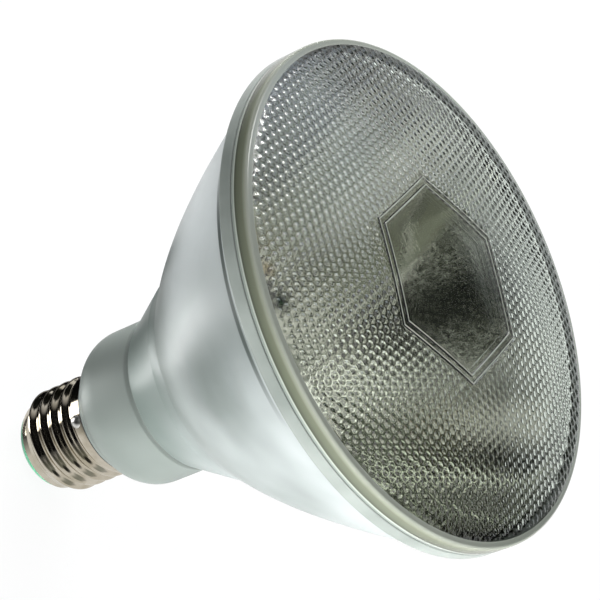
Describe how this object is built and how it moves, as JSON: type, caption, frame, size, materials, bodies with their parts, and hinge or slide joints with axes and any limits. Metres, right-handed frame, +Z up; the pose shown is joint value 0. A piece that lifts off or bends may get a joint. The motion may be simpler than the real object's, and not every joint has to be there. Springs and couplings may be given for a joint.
{
  "type": "reflector spotlight lamp",
  "caption": "Pressed glass reflector lamp with a domed stippled lens, mirrored bowl and skirted screw cap, for spot and flood light fittings.",
  "frame": {"origin": "tip of the centre contact, on the lamp's axis, at the lowest point of the lamp", "axes": "+Z up the lamp's axis, from the screw cap towards the lens; +X through a corner of the six sided panel on the lens"},
  "size_m": [0.122, 0.122, 0.1302],
  "materials": {
    "lens_glass": "pressed clear glass, stippled",
    "mirrored_glass": "pressed glass with a mirror coat behind it",
    "skirt_metal": "smooth drawn, satin",
    "insulating_ring": "moulded, matt",
    "nickel_plate": "bright nickel plate",
    "solder": "cast, slightly dull",
    "contact_metal": "stamped",
    "cap_glass": "poured green glass",
    "ferrule_metal": "drawn, oxidised",
    "nickel_wire": "drawn wire",
    "clear_glass": "clear, fire polished",
    "tungsten": "drawn tungsten wire",
    "woven_sleeve": "braided glass yarn"
  },
  "bodies": {
    "root": {"front_lens": "lens_glass", "reflector": "mirrored_glass", "skirt": "skirt_metal", "skirt_insulator": "insulating_ring", "screw_shell": "nickel_plate", "side_solder": "solder", "contact_solder": "solder", "centre_contact": "contact_metal", "cap_insulator": "cap_glass", "ferrule_side": "ferrule_metal", "ferrule_centre": "ferrule_metal", "post_side": "nickel_wire", "post_centre": "nickel_wire", "centre_lead": "nickel_wire", "side_lead": "nickel_wire", "exhaust_tube": "clear_glass", "bridge_bead": "clear_glass", "filament": "tungsten", "filament_support": "tungsten", "lead_sleeve": "woven_sleeve"}
  },
  "joints": []
}
